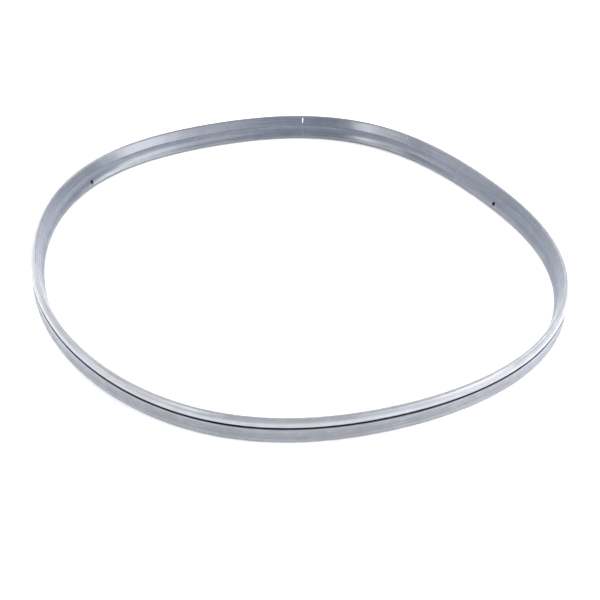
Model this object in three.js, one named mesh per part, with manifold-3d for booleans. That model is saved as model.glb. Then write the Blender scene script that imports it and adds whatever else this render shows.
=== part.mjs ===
// Sealing ring of a stovetop pressure cooker: one soft silicone moulding, lying relaxed on its foot.
// Its section is a lip seal. A thin flap stands up from the foot on the outside, and a slit under the
// crown lets the flap spring out when steam fills the pocket behind it, through three vents in the
// inner wall. Units are mm and +Z is up. The origin is on the resting plane, at the middle of the
// ring's overall length and width.

import * as THREE from 'three';
import { mergeVertices } from 'three/addons/utils/BufferGeometryUtils.js';
import Module from 'manifold-3d';

// Overall sizes
const OUTER_RADIUS = 120;       // mean radius of the lip edge
const HEIGHT = 11.85;           // foot to ridge

// Section: heights
const CROWN_HEIGHT = 3.7;       // lip edge's underside to the ridge
const SLIT_GAP = 1.0;           // between the flap's top and the crown
const POCKET_FLOOR = 2.1;       // bottom of the pocket above the foot
const CORNER_HEIGHT = 7.35;     // crown's overhanging inner corner
const HOLLOW_TOP = 6.7;         // inner wall's hollow, just under that corner
const FOOT_CREASE_HEIGHT = 2.3;

// Section: widths, counted inwards from the lip edge
const FLAP_LEAN = 0.1;          // how far the flap's top springs out past the lip edge
const FLAP_WAIST = 0.75;        // how much further in the flap's face is above the outer bead
const FLAP_THICKNESS = 1.2;     // at its root
const FLAP_TIP = 0.6;           // flap's thickness at its top, where it thins to spring easily
const POCKET_WIDTH = 0.9;
const BODY_WALL = 1.55;         // between the pocket and the deepest part of the cove
const CROWN_OVERHANG = 0.92;    // crown's inner corner past the cove
const FOOT_CREASE_DEPTH = 1.6;  // crease above the inner bead, past the cove
const TOE = 2.15;               // inner bead past the cove
const RIDGE_INSET = 1.8;        // ridge's middle behind the lip edge

// Section: rounding
const RIDGE_RADIUS = 0.9;
const LIP_BULGE = 0.3;          // how far the crown's outer face swells past a straight line
const LIP_EDGE_RADIUS = 0.3;
const FLAP_EDGE_RADIUS = 0.28;
const OUTER_BEAD_RADIUS = 1.1;
const OUTER_BEAD_INSET = 0.13;  // bead's widest point behind the lip edge
const INNER_BEAD_RADIUS = 1.1;

// Steam vents, cut from the cove into the pocket
const VENT_COUNT = 3;
const FIRST_VENT_BEARING = 29.3;    // degrees anticlockwise from +X
const VENT_DIAMETER = 1.8;
const VENT_CENTRE_HEIGHT = 3.1;

// A soft ring relaxes a little out of round. Each term pushes it out by `swell` at `bearing` degrees,
// and repeats `lobes` times round the ring.
const OUT_OF_ROUND = [
  { lobes: 2, swell: 1.6, bearing: -33.5 },
  { lobes: 3, swell: 1.2, bearing: -17.5 },
  { lobes: 4, swell: 2.3, bearing: -18 },
  { lobes: 5, swell: 0.6, bearing: 0 },
  { lobes: 6, swell: 0.35, bearing: 19 },
];

const STATIONS = 96;    // facets round the ring
const VENT_FACETS = 16;

// Section lines that the features share, as offsets from the lip edge (inwards is negative)
const flapFace = FLAP_LEAN;
const flapBack = flapFace - FLAP_THICKNESS;
const tipBack = flapFace - FLAP_TIP;
const pocketBack = flapBack - POCKET_WIDTH;
const cove = pocketBack - BODY_WALL;
const crownUnderside = HEIGHT - CROWN_HEIGHT;
const flapTop = crownUnderside - SLIT_GAP;

// Points of a round stretch, from one angle to another in degrees, anticlockwise from outwards
function arc(x, y, radius, from, to, steps) {
  const points = [];
  for (let i = 0; i <= steps; i += 1) {
    const angle = THREE.MathUtils.degToRad(from + ((to - from) * i) / steps);
    points.push(new THREE.Vector2(x + radius * Math.cos(angle), y + radius * Math.sin(angle)));
  }
  return points;
}

// Points of a smooth bend from one point to another that leans towards a third
function bend(start, towards, end, steps) {
  return new THREE.QuadraticBezierCurve(start, towards, end).getPoints(steps);
}

function outerFlap() {
  const bead = arc(-OUTER_BEAD_INSET - OUTER_BEAD_RADIUS, OUTER_BEAD_RADIUS, OUTER_BEAD_RADIUS, -90, 40, 5);
  const waist = new THREE.Vector2(flapFace - FLAP_WAIST, 2 * OUTER_BEAD_RADIUS + 0.3);
  const edge = arc(flapFace - FLAP_EDGE_RADIUS, flapTop - FLAP_EDGE_RADIUS, FLAP_EDGE_RADIUS, 0, 90, 2);
  return [...bead, waist, ...edge];
}

function pocket() {
  const radius = POCKET_WIDTH / 2;
  const floor = arc(flapBack - radius, POCKET_FLOOR + radius, radius, 0, -180, 4);
  return [
    new THREE.Vector2(tipBack, flapTop),
    ...floor,
    new THREE.Vector2(pocketBack, crownUnderside),
  ];
}

function crown() {
  const edge = arc(-LIP_EDGE_RADIUS, crownUnderside + LIP_EDGE_RADIUS, LIP_EDGE_RADIUS, -90, 0, 2);
  const ridge = arc(-RIDGE_INSET, HEIGHT - RIDGE_RADIUS, RIDGE_RADIUS, 35, 150, 4);
  const lip = edge[edge.length - 1];
  const towards = lip.clone().lerp(ridge[0], 0.5);
  towards.x += 2 * LIP_BULGE;
  const face = bend(lip, towards, ridge[0], 3).slice(1, -1);
  const corner = new THREE.Vector2(cove - CROWN_OVERHANG, CORNER_HEIGHT);
  return [...edge, ...face, ...ridge, corner];
}

function innerWall() {
  const top = new THREE.Vector2(cove, HOLLOW_TOP);
  const crease = new THREE.Vector2(cove - FOOT_CREASE_DEPTH, FOOT_CREASE_HEIGHT);
  const towards = new THREE.Vector2(cove - FOOT_CREASE_DEPTH / 6, (HOLLOW_TOP + FOOT_CREASE_HEIGHT) / 2);
  const hollow = bend(top, towards, crease, 4);
  const bead = arc(cove - TOE + INNER_BEAD_RADIUS, INNER_BEAD_RADIUS, INNER_BEAD_RADIUS, 140, 270, 5);
  return [...hollow, ...bead];
}

// The closed section, as distances from the ring's axis and heights
function section() {
  const outline = [...outerFlap(), ...pocket(), ...crown(), ...innerWall()];
  outline.push(outline[0].clone());
  return outline.map((point) => new THREE.Vector2(OUTER_RADIUS + point.x, point.y));
}

function swellAt(bearing) {
  return OUT_OF_ROUND.reduce((sum, term) => {
    const peak = THREE.MathUtils.degToRad(term.bearing);
    return sum + term.swell * Math.cos(term.lobes * (bearing - peak));
  }, 0);
}

// The section swept round the axis, then pushed out of round
function sweptRing() {
  const geometry = new THREE.LatheGeometry(section(), STATIONS);
  geometry.rotateX(Math.PI / 2);
  const position = geometry.getAttribute('position');
  for (let i = 0; i < position.count; i += 1) {
    const bearing = Math.atan2(position.getY(i), position.getX(i));
    const radius = Math.hypot(position.getX(i), position.getY(i)) + swellAt(bearing);
    position.setX(i, radius * Math.cos(bearing));
    position.setY(i, radius * Math.sin(bearing));
  }
  return geometry;
}

// A round hole that passes radially through the inner wall only
function ventCutter(index) {
  const bearing = THREE.MathUtils.degToRad(FIRST_VENT_BEARING + (360 * index) / VENT_COUNT);
  const inside = cove - TOE - 1;
  const outside = (flapBack + pocketBack) / 2;
  const radius = VENT_DIAMETER / 2;
  const geometry = new THREE.CylinderGeometry(radius, radius, outside - inside, VENT_FACETS);
  geometry.rotateZ(Math.PI / 2);
  geometry.translate(OUTER_RADIUS + swellAt(bearing) + (inside + outside) / 2, 0, VENT_CENTRE_HEIGHT);
  geometry.rotateZ(bearing);
  return geometry;
}

const wasm = await Module();
wasm.setup();

function solidOf(geometry) {
  geometry.deleteAttribute('normal');
  geometry.deleteAttribute('uv');
  const merged = mergeVertices(geometry);
  return new wasm.Manifold(new wasm.Mesh({
    numProp: 3,
    vertProperties: merged.getAttribute('position').array,
    triVerts: new Uint32Array(merged.getIndex().array),
  }));
}

function geometryOf(solid) {
  const mesh = solid.getMesh();
  const geometry = new THREE.BufferGeometry();
  geometry.setAttribute('position', new THREE.BufferAttribute(mesh.vertProperties, 3));
  geometry.setIndex(new THREE.BufferAttribute(mesh.triVerts, 1));
  geometry.computeVertexNormals();
  return geometry;
}

function sealingRing() {
  let solid = solidOf(sweptRing());
  for (let i = 0; i < VENT_COUNT; i += 1) {
    solid = solid.subtract(solidOf(ventCutter(i)));
  }
  const geometry = geometryOf(solid);
  geometry.computeBoundingBox();
  const middle = geometry.boundingBox.getCenter(new THREE.Vector3());
  geometry.translate(-middle.x, -middle.y, 0);
  const silicone = new THREE.MeshStandardMaterial({ color: 0x9ea3b0, roughness: 0.35, metalness: 0 });
  const mesh = new THREE.Mesh(geometry, silicone);
  mesh.name = 'sealing_ring';
  return mesh;
}

const part = new THREE.Group();
part.add(sealingRing());

export default part;
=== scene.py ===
"""Looks of a pressure cooker's sealing ring: one grey silicone moulding, lying relaxed on a white floor.

Blender works in metres. The section's sizes are given in millimetres and are turned into metres once, when
the ring's mesh is made. Widths are counted inwards from the lip edge, which is the ring's widest line.
Bearings are in degrees, anticlockwise from +X as seen from above.
"""
import functools
import math

import bmesh
import bpy
import numpy as np
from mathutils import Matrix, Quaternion, Vector


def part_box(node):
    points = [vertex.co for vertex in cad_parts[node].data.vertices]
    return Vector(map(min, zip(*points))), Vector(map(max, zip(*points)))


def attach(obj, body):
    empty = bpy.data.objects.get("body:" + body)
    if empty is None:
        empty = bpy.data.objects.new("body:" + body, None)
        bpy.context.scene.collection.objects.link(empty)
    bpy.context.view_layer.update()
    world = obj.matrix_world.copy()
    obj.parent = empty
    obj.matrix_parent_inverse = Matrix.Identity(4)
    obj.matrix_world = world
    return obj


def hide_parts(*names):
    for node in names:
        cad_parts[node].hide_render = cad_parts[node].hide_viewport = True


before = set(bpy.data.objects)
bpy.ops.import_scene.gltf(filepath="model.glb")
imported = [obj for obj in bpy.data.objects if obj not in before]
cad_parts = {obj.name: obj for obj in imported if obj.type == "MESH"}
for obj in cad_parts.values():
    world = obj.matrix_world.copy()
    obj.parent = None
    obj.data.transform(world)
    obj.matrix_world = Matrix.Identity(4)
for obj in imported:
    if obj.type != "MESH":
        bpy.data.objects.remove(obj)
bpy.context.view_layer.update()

NODE = "sealing_ring"
MM = 0.001

# Overall sizes, from the frame
node_low, node_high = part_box(NODE)
HEIGHT = (node_high.z - node_low.z) / MM
MEAN_RADIUS = 120

# Section: heights in millimetres
CROWN_HEIGHT = 3.7
SLIT_GAP = 1.0
POCKET_FLOOR = 2.1
CORNER_HEIGHT = 7.35
HOLLOW_TOP = 6.7
FOOT_CREASE_HEIGHT = 2.3

# Section: widths
FLAP_LEAN = 0.1
FLAP_WAIST = 0.75
FLAP_THICKNESS = 1.2
FLAP_TIP = 0.6
POCKET_WIDTH = 0.9
BODY_WALL = 1.55
CROWN_OVERHANG = 0.92
FOOT_CREASE_DEPTH = 1.6
TOE = 2.15
RIDGE_INSET = 1.8

# Section: rounding
RIDGE_RADIUS = 0.9
LIP_BULGE = 0.3
LIP_EDGE_RADIUS = 0.3
FLAP_EDGE_RADIUS = 0.28
OUTER_BEAD_RADIUS = 1.1
OUTER_BEAD_INSET = 0.13
INNER_BEAD_RADIUS = 1.1
WAIST_ABOVE_BEAD = 0.3
WAIST_RADIUS = 0.9
BEAD_TO_WAIST_RADIUS = 0.3
CORNER_RADIUS = 0.3
CREASE_RADIUS = 0.4
HIDDEN_RADIUS = 0.16

# Steam vents
VENT_COUNT = 3
FIRST_VENT_BEARING = 29.3
VENT_DIAMETER = 1.8
VENT_CENTRE_HEIGHT = 3.1
VENT_FLARE = 1.06       # how much wider the vent's cutter is at its inner end
VENT_MOUTH = 0.5        # how far inside the cove the flare begins
CUT_PAST_TOE = 1.0      # how far past the toe that end lies

# The splice of the moulding's ends, midway between two vents: a low seam with a groove beside it, and a
# sliver of flash on the crown's inner slope. Heights, half widths and places are in millimetres.
SPLICE_BEARING = FIRST_VENT_BEARING + 180 / VENT_COUNT
SEAM_HEIGHT = 0.03
SEAM_HALF_WIDTH = 0.10
GROOVE_DEPTH = 0.04
GROOVE_HALF_WIDTH = 0.12
GROOVE_BESIDE_SEAM = 0.32
FLASH_HEIGHT = 0.25
FLASH_HALF_WIDTH = 0.16
FLASH_ABOVE_CORNER = 1.5
FLASH_BEHIND_RIDGE = 0.8
FOOT_FADE = 0.6         # height below which the seam fades out, so that the foot stays flat

# How far the relaxed ring is out of round: lobes round the ring, swell in millimetres, bearing of a peak
OUT_OF_ROUND = ((2, 1.6, -33.5), (3, 1.2, -17.5), (4, 2.3, -18), (5, 0.6, 0), (6, 0.35, 19))

# Small uneven lean of the soft section: lobes round the ring, lean in degrees, phase in radians
UNEVEN_LEAN = ((3, 0.5, 0.7), (7, 0.3, 2.1))

# How fine the mesh is
STATIONS = 540
SPLICE_STATIONS = 22    # more of them within SPLICE_SPAN radians on each side of the splice
SPLICE_SPAN = 0.012
LONGEST_STEP = 0.45     # between points of the section, in millimetres
SHORTEST_STEP = 0.02
VENT_FACETS = 40
SHARP_ANGLE = 40        # degrees between faces beyond which an edge stays crisp

# Lines of the section that several features share
flap_face = FLAP_LEAN
flap_back = flap_face - FLAP_THICKNESS
tip_back = flap_face - FLAP_TIP
pocket_back = flap_back - POCKET_WIDTH
cove = pocket_back - BODY_WALL
crown_underside = HEIGHT - CROWN_HEIGHT
flap_top = crown_underside - SLIT_GAP
corner = (cove - CROWN_OVERHANG, CORNER_HEIGHT)
under_corner = (cove, HOLLOW_TOP)


# ---------------------------------------------------------------- section outline

def arc(x, z, radius, start, end, steps):
    """Points of a round stretch between two angles in degrees, anticlockwise from outwards."""
    angles = np.radians(np.linspace(start, end, steps + 1))
    return [(x + radius * math.cos(a), z + radius * math.sin(a)) for a in angles]


def bend(start, towards, end, steps):
    """Points of a smooth bend from start to end that leans towards a third point."""
    start, towards, end = (np.array(point, float) for point in (start, towards, end))
    shares = np.linspace(0, 1, steps + 1)
    return [tuple((1 - t) ** 2 * start + 2 * t * (1 - t) * towards + t ** 2 * end) for t in shares]


def rounded(before, point, after, radius, steps=6):
    """Points of a corner eased over about a radius, between the directions to its two neighbours."""
    point = np.array(point, float)
    ends = []
    for neighbour in (before, after):
        way = np.array(neighbour, float) - point
        length = np.linalg.norm(way)
        ends.append(point + way / length * min(radius, 0.48 * length))
    return bend(ends[0], point, ends[1], steps)


def outer_flap():
    """The foot's outer bead, the flap's hollow face, its thin top and its back."""
    bead = arc(-OUTER_BEAD_INSET - OUTER_BEAD_RADIUS, OUTER_BEAD_RADIUS, OUTER_BEAD_RADIUS, -90, 40, 14)
    waist = (flap_face - FLAP_WAIST, 2 * OUTER_BEAD_RADIUS + WAIST_ABOVE_BEAD)
    front = (flap_face, flap_top)
    back = (tip_back, flap_top)
    root = (flap_back, POCKET_FLOOR)
    points = bead[:-1] + rounded(bead[-4], bead[-1], waist, BEAD_TO_WAIST_RADIUS)
    points += rounded(bead[-1], waist, front, WAIST_RADIUS, 8)
    points += rounded(waist, front, back, FLAP_EDGE_RADIUS, 8)
    return points + rounded(front, back, root, HIDDEN_RADIUS)


def pocket():
    """The pocket's round floor and its inner wall, up to the crown's underside."""
    radius = POCKET_WIDTH / 2
    floor = arc(flap_back - radius, POCKET_FLOOR + radius, radius, 0, -180, 10)
    roof = (pocket_back, crown_underside)
    return floor + rounded(floor[-1], roof, (0, crown_underside), HIDDEN_RADIUS)


def crown():
    """Lip edge, swelling outer face, ridge, and the inner slope down to the overhanging corner."""
    edge = arc(-LIP_EDGE_RADIUS, crown_underside + LIP_EDGE_RADIUS, LIP_EDGE_RADIUS, -90, 0, 8)
    ridge = arc(-RIDGE_INSET, HEIGHT - RIDGE_RADIUS, RIDGE_RADIUS, 32, 152, 16)
    lip = np.array(edge[-1])
    towards = (lip + np.array(ridge[0])) / 2 + np.array([2 * LIP_BULGE, 0])
    face = bend(lip, towards, ridge[0], 12)[1:-1]
    return edge + face + ridge + rounded(ridge[-1], corner, under_corner, CORNER_RADIUS)


def inner_wall():
    """The hollow cove, the crease above the foot, and the inner bead down to the flat foot."""
    crease = (cove - FOOT_CREASE_DEPTH, FOOT_CREASE_HEIGHT)
    towards = (cove - FOOT_CREASE_DEPTH / 6, (HOLLOW_TOP + FOOT_CREASE_HEIGHT) / 2)
    hollow = bend(under_corner, towards, crease, 16)
    bead = arc(cove - TOE + INNER_BEAD_RADIUS, INNER_BEAD_RADIUS, INNER_BEAD_RADIUS, 140, 270, 16)
    foot_of_cove = rounded(hollow[-4], crease, bead[1], CREASE_RADIUS)
    return rounded(corner, under_corner, hollow[2], CREASE_RADIUS) + hollow[2:-3] + foot_of_cove + bead[1:]


def pairs(loop):
    """Each point of a closed loop with the one that follows it."""
    return zip(loop, loop[1:] + loop[:1])


def section():
    """The closed section as an array of points, starting in the middle of the flat foot."""
    outline = outer_flap() + pocket() + crown() + inner_wall()
    loop = [((outline[0][0] + outline[-1][0]) / 2, 0.0)] + outline
    loop = [here for here, there in pairs(loop) if math.dist(here, there) > SHORTEST_STEP]
    points = []
    for here, there in pairs(loop):
        steps = math.ceil(math.dist(here, there) / LONGEST_STEP)
        shares = np.arange(steps) / steps
        points += [np.array(here) * (1 - t) + np.array(there) * t for t in shares]
    return np.array(points)


def outward(points):
    """Unit normals of the closed section, pointing out of the silicone."""
    along = np.roll(points, -1, axis=0) - np.roll(points, 1, axis=0)
    normals = np.stack([along[:, 1], -along[:, 0]], axis=1)
    return normals / np.linalg.norm(normals, axis=1, keepdims=True)


def step_lengths(points):
    """Length from each point of the closed section to the next one, in millimetres."""
    return np.hypot(*(np.roll(points, -1, axis=0) - points).T)


ROUND_SECTION = float(step_lengths(section()).sum())


# ---------------------------------------------------------------- ring mesh

def swell_at(bearing):
    """How far the ring is pushed out at a bearing in radians, in millimetres."""
    return sum(swell * np.cos(lobes * (bearing - math.radians(peak))) for lobes, swell, peak in OUT_OF_ROUND)


def lean_at(bearing):
    """How far the section leans outwards at a bearing in radians, in radians."""
    return sum(math.radians(lean) * np.sin(lobes * bearing + phase) for lobes, lean, phase in UNEVEN_LEAN)


def station_bearings():
    """Bearings in radians from the splice once round, closer together at the splice."""
    turn = 2 * math.pi
    near = np.linspace(0, SPLICE_SPAN, SPLICE_STATIONS)
    far = np.linspace(0, turn, STATIONS + 1)
    far = far[(far > 1.2 * SPLICE_SPAN) & (far < turn - 1.2 * SPLICE_SPAN)]
    return np.concatenate([near, far, turn - near[::-1]]) + math.radians(SPLICE_BEARING)


def bump(distance, half_width):
    """1 at no distance, falling smoothly to nothing over about two half widths."""
    return np.exp(-(distance / half_width) ** 2)


def splice_rise(points, distance):
    """How far the surface stands proud at a distance in millimetres from the splice's middle."""
    seam = SEAM_HEIGHT * bump(distance, SEAM_HALF_WIDTH)
    groove = GROOVE_DEPTH * bump(distance + GROOVE_BESIDE_SEAM, GROOVE_HALF_WIDTH)
    flash = FLASH_HEIGHT * bump(distance, FLASH_HALF_WIDTH)
    behind_ridge = points[:, 0] < -RIDGE_INSET - FLASH_BEHIND_RIDGE
    inner_slope = behind_ridge & (points[:, 1] > CORNER_HEIGHT + FLASH_ABOVE_CORNER)
    off_the_foot = np.clip(points[:, 1] / FOOT_FADE, 0, 1)
    return (seam - groove) * off_the_foot + flash * inner_slope


def ring_vertices(points, bearings):
    """The section swept once round, in millimetres."""
    normals = outward(points)
    rows = []
    for bearing in bearings:
        turned = bearing - math.radians(SPLICE_BEARING)
        distance = MEAN_RADIUS * math.remainder(turned, 2 * math.pi)
        local = points + normals * splice_rise(points, distance)[:, None]
        out = MEAN_RADIUS + swell_at(bearing) + local[:, 0] + math.tan(lean_at(bearing)) * local[:, 1]
        rows.append(np.stack([out * math.cos(bearing), out * math.sin(bearing), local[:, 1]], axis=1))
    return np.concatenate(rows)


def ring_faces(count, stations):
    """Quads between neighbouring stations, as vertex numbers."""
    return [
        (i * count + k, j * count + k, j * count + (k + 1) % count, i * count + (k + 1) % count)
        for i in range(stations) for j in [(i + 1) % stations] for k in range(count)
    ]


def surface_lengths(points, bearings):
    """For each face corner: how far it is along the ring from the splice, and round the section."""
    across = np.append(0, np.cumsum(step_lengths(points)))
    along = (bearings - bearings[0]) * MEAN_RADIUS
    count, stations = len(points), len(bearings) - 1
    lengths = np.empty((stations, count, 4, 2))
    lengths[:, :, (0, 3), 0] = along[:-1, None, None]
    lengths[:, :, (1, 2), 0] = along[1:, None, None]
    lengths[:, :, (0, 1), 1] = across[None, :-1, None]
    lengths[:, :, (2, 3), 1] = across[None, 1:, None]
    return lengths.reshape(-1, 2)


def frame_fit(vertices):
    """Scale and shift that bring millimetres round the ring's own axis into the CAD node's box, in metres."""
    low, high = vertices.min(axis=0), vertices.max(axis=0)
    scale = (np.array(node_high) - np.array(node_low)) / (high - low)
    return scale, np.array(node_low) - low * scale


def paint_pocket_shade(mesh, bearing):
    """Gives a vent's walls the surface lengths of the pocket's floor, so that they take its painted dark
    shade.
    """
    lengths = mesh.loops.layers.uv.new("along_across")
    for face in mesh.faces:
        for face_corner in face.loops:
            face_corner[lengths].uv = (bearing * MEAN_RADIUS * MM, POCKET_PLACE * MM)


def vent_cutter(bearing, scale, shift):
    """A round bar from inside the ring into the pocket, slightly flared at the vent's mouth."""
    outline = arc(0, 0, VENT_DIAMETER / 2, 0, 360, VENT_FACETS)[:-1]
    inside = cove - TOE - CUT_PAST_TOE
    mouth = cove - VENT_MOUTH
    middle = (flap_back + pocket_back) / 2
    mesh = bmesh.new()
    loops = []
    for offset, flare in ((inside, VENT_FLARE), (mouth, 1), (middle, 1)):
        out = MEAN_RADIUS + swell_at(bearing) + offset
        loop = []
        for side, up in outline:
            x = out * math.cos(bearing) - side * flare * math.sin(bearing)
            y = out * math.sin(bearing) + side * flare * math.cos(bearing)
            z = VENT_CENTRE_HEIGHT + up * flare
            loop.append(mesh.verts.new(np.array((x, y, z)) * scale + shift))
        loops.append(loop)
    for near, far in zip(loops, loops[1:]):
        for k in range(len(near)):
            m = (k + 1) % len(near)
            mesh.faces.new((near[k], near[m], far[m], far[k]))
    mesh.faces.new(loops[0][::-1])
    mesh.faces.new(loops[-1])
    bmesh.ops.recalc_face_normals(mesh, faces=mesh.faces)
    # the vent's walls get the pocket's painted shade
    paint_pocket_shade(mesh, bearing)
    return add_object("vent_cutter", mesh)


def add_object(name, mesh):
    """A new object in the scene from a bmesh, which is freed."""
    data = bpy.data.meshes.new(name)
    mesh.to_mesh(data)
    mesh.free()
    made = bpy.data.objects.new(name, data)
    bpy.context.scene.collection.objects.link(made)
    return made


def cut(piece, cutter):
    """Takes the cutter's solid out of the piece, and removes the cutter."""
    modifier = piece.modifiers.new("cut", "BOOLEAN")
    modifier.operation = "DIFFERENCE"
    modifier.object = cutter
    modifier.solver = "EXACT"
    bpy.context.view_layer.update()
    evaluated = piece.evaluated_get(bpy.context.evaluated_depsgraph_get())
    mesh = bpy.data.meshes.new_from_object(evaluated)
    piece.modifiers.clear()
    piece.data = mesh
    bpy.data.objects.remove(cutter)


def build_ring():
    """The whole moulding as one piece, smooth except at its crisp edges."""
    points = section()
    bearings = station_bearings()
    vertices = ring_vertices(points, bearings[:-1])
    scale, shift = frame_fit(vertices)
    data = bpy.data.meshes.new("silicone_ring")
    data.from_pydata((vertices * scale + shift).tolist(), [], ring_faces(len(points), len(bearings) - 1))
    lengths = data.uv_layers.new(name="along_across")
    lengths.data.foreach_set("uv", (surface_lengths(points, bearings) * MM).ravel())
    ring = bpy.data.objects.new("silicone_ring", data)
    bpy.context.scene.collection.objects.link(ring)
    for index in range(VENT_COUNT):
        bearing = math.radians(FIRST_VENT_BEARING + 360 * index / VENT_COUNT)
        cut(ring, vent_cutter(bearing, scale, shift))
    ring.data.name = "silicone_ring"
    ring.data.polygons.foreach_set("use_smooth", [True] * len(ring.data.polygons))
    ring.data.set_sharp_from_angle(angle=math.radians(SHARP_ANGLE))
    return ring


# ---------------------------------------------------------------- silicone

class Nodes:
    """A short way to write shader nodes: a call makes nodes, joins their inputs and gives back an output."""

    def __init__(self, material):
        material.use_nodes = True
        self.tree = material.node_tree
        self.shader = self.tree.nodes["Principled BSDF"]

    def join(self, values, sockets):
        """Links each value that is a node's output, and sets the plain ones on their sockets."""
        for key, value in values.items():
            if isinstance(value, bpy.types.NodeSocket):
                self.tree.links.new(value, sockets[key])
            else:
                sockets[key].default_value = value

    def make(self, kind, inputs, output=0, **settings):
        node = self.tree.nodes.new(kind)
        for name, value in settings.items():
            setattr(node, name, value)
        self.join(inputs, node.inputs)
        return node.outputs[output]

    def calc(self, operation, first, second):
        return self.make("ShaderNodeMath", {0: first, 1: second}, operation=operation)

    def product(self, *values):
        return functools.reduce(lambda first, second: self.calc("MULTIPLY", first, second), values)

    def total(self, *values):
        return functools.reduce(lambda first, second: self.calc("ADD", first, second), values)

    def noise(self, vector, scale, detail=2.0, roughness=0.5):
        inputs = {"Vector": vector, "Scale": scale, "Detail": detail, "Roughness": roughness}
        return self.make("ShaderNodeTexNoise", inputs, output="Fac", noise_dimensions="3D")

    def stretch(self, vector, along, across):
        """The surface lengths scaled so that one unit is `along` metres one way and `across` the other."""
        return self.make("ShaderNodeMapping", {"Vector": vector, "Scale": (1 / along, 1 / across, 1)})

    def remap(self, value, low, high, to_low, to_high):
        inputs = {"Value": value, "From Min": low, "From Max": high, "To Min": to_low, "To Max": to_high}
        return self.make("ShaderNodeMapRange", inputs, clamp=True)

    def around(self, noise, spread, middle, change):
        """Noise that is mostly within a spread of 0.5, brought to a middle value give or take a change."""
        return self.remap(noise, 0.5 - spread, 0.5 + spread, middle - change, middle + change)

    def between(self, value, low, high, ease):
        """Mask that is 1 from low to high and fades out over a distance of `ease` on each side."""
        rising = self.remap(value, low - ease, low, 0.0, 1.0)
        return self.product(rising, self.remap(value, high, high + ease, 1.0, 0.0))

    def blend(self, first, second, share, kind="MIX"):
        """The first colour with a share of the second laid on it."""
        node = self.tree.nodes.new("ShaderNodeMix")
        node.data_type = "RGBA"
        node.blend_type = kind
        sockets = {socket.name: socket for socket in node.inputs if socket.enabled}
        self.join({"Factor": share, "A": first, "B": second}, sockets)
        return next(socket for socket in node.outputs if socket.enabled)


# Painted light and shade of the silicone round its section: name, place in millimetres round the section from
# the middle of the foot, lightness, coolness. Painted highlights make the lip and the outer bead the palest
# and lighten the flap tip, the corner and the inner bead. Painted shade makes the ridge and the inner wall
# darker, and the inner wall cooler. The pocket is painted dark as the shade inside the slit, and so are the
# vents' walls, which take the painted shade at POCKET_PLACE.
PAINTED_SECTION_SHADING = (
    ("foot", 0.0, 0.16, 0.06), ("outer bead", 2.0, 0.21, 0.06), ("outer bead", 4.0, 0.21, 0.06),
    ("flap", 5.0, 0.175, 0.06), ("flap", 8.6, 0.18, 0.06), ("flap tip", 9.4, 0.22, 0.06),
    ("pocket", 10.4, 0.05, 0.06), ("pocket", 23.2, 0.05, 0.06), ("lip", 23.9, 0.29, 0.05),
    ("lip", 25.1, 0.29, 0.05), ("crown", 26.1, 0.205, 0.04), ("crown", 27.5, 0.19, 0.03),
    ("ridge", 28.3, 0.12, 0.04), ("inner slope", 29.4, 0.10, 0.15), ("inner slope", 33.0, 0.10, 0.15),
    ("corner", 33.7, 0.13, 0.15), ("cove", 34.6, 0.115, 0.17), ("cove", 38.5, 0.10, 0.17),
    ("inner bead", 39.3, 0.105, 0.12), ("inner bead", 40.4, 0.145, 0.08), ("foot", 42.5, 0.17, 0.06),
)
# Place round the section whose painted dark shade the vents' walls take
POCKET_PLACE = 17.0

# Patterns on the surface. Streaks and fine lines run along the ring: metres along it, metres across.
STREAK_SIZE = (0.040, 0.0005)
FINE_LINE_SIZE = (0.012, 0.00016)
HUE_SCALE = 38          # this and the next three are in patches per metre
CLOUD_SCALE = 55
MOTTLE_SCALE = 210
GRAIN_SCALE = 2600

# How much each pattern changes the lightness, as a share of it
STREAK_SHADE = 0.12
FINE_LINE_SHADE = 0.04
CLOUD_SHADE = 0.08
MOTTLE_SHADE = 0.05

# Satin gloss: the middle roughness, and how much the patterns and the specks change it
ROUGHNESS = 0.25
STREAK_ROUGHNESS = 0.05
CLOUD_ROUGHNESS = 0.03
SPECK_ROUGHNESS = 0.3
IOR = 1.5

# Relief in millimetres
STREAK_RELIEF = 0.014
FINE_LINE_RELIEF = 0.003
GRAIN_RELIEF = 0.0012
LINT_RELIEF = 0.01

# Patches of slightly cooler and warmer grey
COOLER = (0.985, 1.005, 1.02, 1)
WARMER = (1.025, 0.995, 0.985, 1)

# Specks of pale lint and dark grit. Sizes are shares of the cell that each speck lies in.
SPECK_CELL = 0.006      # metres of surface for each speck, each way
SPECK_EDGE = (-0.004, 0.008)
LINT_LARGEST = 0.035
LINT_COLOUR = (0.62, 0.64, 0.68, 1)
LINT_COVER = 0.7
GRIT_LARGEST = 0.03
GRIT_COLOUR = (0.03, 0.03, 0.04, 1)
GRIT_COVER = 0.55
GRIT_SHIFT = 0.31       # metres that move the grit's cells off the lint's

# Pale flash at the splice: its stretch round the section in millimetres, and how faint it is elsewhere
FLASH_STRETCH = (29.9, 31.6)
FLASH_EASE = 0.5
FLASH_FAINT = 0.02
FLASH_REACH = 0.22      # half its width along the ring, in millimetres
FLASH_COLOUR = (0.85, 0.87, 0.90, 1)


def cool_grey(lightness, coolness):
    """A grey that is bluer and less red the higher its coolness."""
    return lightness * (1 - coolness), lightness * (1 - 0.35 * coolness), lightness * (1 + coolness), 1


def paint_section_shading(nodes, across):
    """Colour from the distance round the section, blended between the painted highlights and shades above."""
    ramp = nodes.tree.nodes.new("ShaderNodeValToRGB")
    nodes.join({"Fac": nodes.calc("DIVIDE", across, ROUND_SECTION * MM)}, ramp.inputs)
    elements = ramp.color_ramp.elements
    elements.remove(elements[-1])
    for index, (_, place, lightness, coolness) in enumerate(PAINTED_SECTION_SHADING):
        element = elements[0] if index == 0 else elements.new(place / ROUND_SECTION)
        element.position = place / ROUND_SECTION
        element.color = cool_grey(lightness, coolness)
    return ramp.outputs["Color"]


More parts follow.
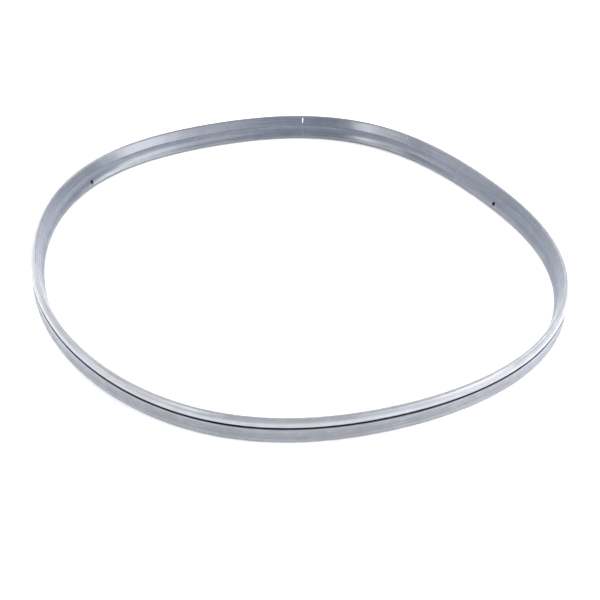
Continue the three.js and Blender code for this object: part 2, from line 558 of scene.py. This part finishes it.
def specks(nodes, surface, shift, largest):
    """Mask of small round specks, one at most in each cell, of random sizes up to the largest."""
    moved = nodes.make("ShaderNodeMapping", {"Vector": surface, "Location": (shift, shift, 0)})
    inputs = {"Vector": moved, "Scale": 1 / SPECK_CELL, "Randomness": 1.0}
    distance = nodes.make("ShaderNodeTexVoronoi", inputs, output="Distance", voronoi_dimensions="2D")
    chance = nodes.make("ShaderNodeTexVoronoi", inputs, output="Color", voronoi_dimensions="2D")
    size = nodes.product(nodes.calc("POWER", chance, 2.0), largest)
    return nodes.remap(nodes.calc("SUBTRACT", size, distance), *SPECK_EDGE, 0.0, 1.0)


def splice_flash(nodes, along, across):
    """Mask of the pale sliver of flash that stands on the inner slope at the splice."""
    away = nodes.calc("PINGPONG", along, math.pi * MEAN_RADIUS * MM)
    narrow = nodes.remap(away, 0.6 * FLASH_REACH * MM, 1.4 * FLASH_REACH * MM, 1.0, 0.0)
    low, high = FLASH_STRETCH
    on_slope = nodes.between(across, low * MM, high * MM, FLASH_EASE * MM)
    return nodes.product(nodes.remap(on_slope, 0.0, 1.0, FLASH_FAINT, 1.0), narrow)


def patterns(nodes, surface, place):
    """The patterns that the colour, the gloss and the relief share, by name."""
    return {
        "streaks": nodes.noise(nodes.stretch(surface, *STREAK_SIZE), 1.0, 3.0, 0.6),
        "fine_lines": nodes.noise(nodes.stretch(surface, *FINE_LINE_SIZE), 1.0),
        "hue": nodes.noise(place, HUE_SCALE),
        "cloud": nodes.noise(place, CLOUD_SCALE, 3.0, 0.55),
        "mottle": nodes.noise(place, MOTTLE_SCALE, 2.0, 0.6),
        "grain": nodes.noise(place, GRAIN_SCALE),
        "lint": specks(nodes, surface, 0.0, LINT_LARGEST),
        "grit": specks(nodes, surface, GRIT_SHIFT, GRIT_LARGEST),
    }


def silicone_colour(nodes, surface, marks):
    """The section's painted light and shade made uneven by the patterns, with the specks and the splice's
    flash on top.
    """
    along = nodes.make("ShaderNodeSeparateXYZ", {"Vector": surface}, output="X")
    across = nodes.make("ShaderNodeSeparateXYZ", {"Vector": surface}, output="Y")
    change = nodes.product(
        nodes.around(marks["streaks"], 0.2, 1.0, STREAK_SHADE),
        nodes.around(marks["cloud"], 0.2, 1.0, CLOUD_SHADE),
        nodes.around(marks["fine_lines"], 0.2, 1.0, FINE_LINE_SHADE),
        nodes.around(marks["mottle"], 0.15, 1.0, MOTTLE_SHADE),
    )
    hue = nodes.blend(COOLER, WARMER, nodes.around(marks["hue"], 0.15, 0.5, 0.5))
    # painted highlights and shade round the section, tinted cooler or warmer in patches
    colour = nodes.blend(paint_section_shading(nodes, across), hue, 1.0, "MULTIPLY")
    colour = nodes.make("ShaderNodeVectorMath", {0: colour, 1: change}, operation="MULTIPLY")
    colour = nodes.blend(colour, LINT_COLOUR, nodes.product(marks["lint"], LINT_COVER))
    colour = nodes.blend(colour, GRIT_COLOUR, nodes.product(marks["grit"], GRIT_COVER))
    return nodes.blend(colour, FLASH_COLOUR, splice_flash(nodes, along, across))


def silicone_roughness(nodes, marks):
    dull_specks = nodes.product(nodes.calc("MAXIMUM", marks["lint"], marks["grit"]), SPECK_ROUGHNESS)
    streaks = nodes.around(marks["streaks"], 0.25, ROUGHNESS, STREAK_ROUGHNESS)
    return nodes.total(streaks, nodes.around(marks["cloud"], 0.2, 0.0, CLOUD_ROUGHNESS), dull_specks)


def silicone_normal(nodes, marks):
    relief = nodes.total(
        nodes.product(marks["streaks"], STREAK_RELIEF),
        nodes.product(marks["fine_lines"], FINE_LINE_RELIEF),
        nodes.product(marks["grain"], GRAIN_RELIEF),
        nodes.product(marks["lint"], LINT_RELIEF),
    )
    inputs = {"Height": relief, "Strength": 1.0, "Distance": MM}
    return nodes.make("ShaderNodeBump", inputs, output="Normal")


def silicone():
    """Satin grey silicone with painted light and shade round its section: fine lines along the ring from the
    die, soft mottling, a few specks of dust.
    """
    material = bpy.data.materials.new("grey_silicone")
    nodes = Nodes(material)
    surface = nodes.make("ShaderNodeUVMap", {}, uv_map="along_across")
    place = nodes.make("ShaderNodeTexCoord", {}, output="Object")
    marks = patterns(nodes, surface, place)
    nodes.join({
        "IOR": IOR,
        "Base Color": silicone_colour(nodes, surface, marks),
        "Roughness": silicone_roughness(nodes, marks),
        "Normal": silicone_normal(nodes, marks),
    }, nodes.shader.inputs)
    return material


# ---------------------------------------------------------------- studio

FLOOR_REACH = 8.0       # metres from the middle to each side
FLOOR_WHITE = (0.9, 0.9, 0.9, 1)


def floor():
    """The plain white ground that the ring lies on."""
    mesh = bpy.data.meshes.new("floor")
    corners = [(x * FLOOR_REACH, y * FLOOR_REACH, 0) for x, y in ((-1, -1), (1, -1), (1, 1), (-1, 1))]
    mesh.from_pydata(corners, [], [(0, 1, 2, 3)])
    plane = bpy.data.objects.new("floor", mesh)
    bpy.context.scene.collection.objects.link(plane)
    white = bpy.data.materials.new("white_floor")
    white.use_nodes = True
    shader = white.node_tree.nodes["Principled BSDF"]
    shader.inputs["Base Color"].default_value = FLOOR_WHITE
    shader.inputs["Roughness"].default_value = 0.9
    shader.inputs["Specular IOR Level"].default_value = 0.0
    mesh.materials.append(white)
    plane.location.z = node_low.z


# Soft boxes standing round the ring: name, bearings they span, elevations they span, brightness
SOFTBOXES = (
    ("back_low", 70, 150, 1, 11, 6.3),
    ("back_high", 70, 150, 11, 24, 2.7),
    ("back_upper", 70, 130, 24, 46, 5.9),
    ("back_top", 50, 140, 50, 70, 6.5),
    ("left_back", 150, 182, 8, 26, 4.0),
    ("left_low", 182, 205, 1, 10, 9.4),
    ("left_side", 205, 224, 8, 26, 6.6),
    ("left_upper", 160, 215, 28, 50, 5.4),
    ("left_front_low", 225, 241, 1, 17, 2.2),
    ("left_front", 225, 241, 17, 28, 21.0),
    ("right_front", 300, 322, 8, 24, 5.1),
    ("right_low", 322, 350, 1, 11, 7.6),
    ("right_side", 322, 350, 11, 26, 15.0),
    ("right_back", 352, 392, 18, 30, 19.4),
    ("right_far", 396, 424, 4, 26, 2.4),
    ("right_upper", 330, 400, 32, 52, 3.1),
)
SOFTBOX_DISTANCE = 1.5
COOL_WHITE = (0.98, 0.99, 1.03)
WORLD_STRENGTH = 0.3


def softbox(name, start, end, low, high, brightness):
    """An upright rectangular light, facing the ring, that spans these bearings and elevations in degrees."""
    light = bpy.data.lights.new(name, "AREA")
    light.shape = "RECTANGLE"
    light.size = 2 * SOFTBOX_DISTANCE * math.tan(math.radians(end - start) / 2)
    bottom, top = (SOFTBOX_DISTANCE * math.tan(math.radians(angle)) for angle in (low, high))
    light.size_y = top - bottom
    light.energy = brightness * math.pi * light.size * light.size_y
    light.color = COOL_WHITE
    lamp = bpy.data.objects.new(name, light)
    bpy.context.scene.collection.objects.link(lamp)
    bearing = math.radians((start + end) / 2)
    side = Vector((math.cos(bearing), math.sin(bearing), 0))
    lamp.location = side * SOFTBOX_DISTANCE + Vector((0, 0, (bottom + top) / 2))
    lamp.rotation_mode = "QUATERNION"
    lamp.rotation_quaternion = (-side).to_track_quat("-Z", "Y")
    lamp.visible_camera = False


def studio():
    """Soft white light from all sides, and the soft boxes that draw the ring's bright stretches."""
    world = bpy.data.worlds.new("studio")
    world.use_nodes = True
    background = world.node_tree.nodes["Background"]
    background.inputs["Color"].default_value = (*COOL_WHITE, 1)
    background.inputs["Strength"].default_value = WORLD_STRENGTH
    bpy.context.scene.world = world
    bpy.context.scene.view_settings.view_transform = "Standard"
    for box in SOFTBOXES:
        softbox(*box)


RING_AXIS = Vector((-1.68, -1.01, 0)) * MM      # the ring's own axis, beside the middle of its box
AIM_FROM_AXIS = Vector((3.14, -25.92, 0)) * MM
CAMERA_DISTANCE = 0.6206
CAMERA_ELEVATION = math.radians(35.57)
CAMERA_ROLL = math.radians(2.35)
LENS = 80.83
SENSOR_WIDTH = 36


def camera():
    """A long lens from the front, 36 degrees above the floor, aimed in front of the ring's middle."""
    back = -CAMERA_DISTANCE * math.cos(CAMERA_ELEVATION)
    height = CAMERA_DISTANCE * math.sin(CAMERA_ELEVATION)
    aim = RING_AXIS + AIM_FROM_AXIS
    data = bpy.data.cameras.new("camera")
    data.lens = LENS
    data.sensor_width = SENSOR_WIDTH
    data.clip_start = 0.01
    data.clip_end = 50
    made = bpy.data.objects.new("camera", data)
    bpy.context.scene.collection.objects.link(made)
    made.location = RING_AXIS + Vector((0, back, height))
    made.rotation_mode = "QUATERNION"
    look = (aim - made.location).to_track_quat("-Z", "Y")
    made.rotation_quaternion = look @ Quaternion((0, 0, 1), CAMERA_ROLL)
    bpy.context.scene.camera = made


camera()
studio()
floor()
ring = build_ring()
ring.data.materials.append(silicone())
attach(ring, "root")
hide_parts(NODE)
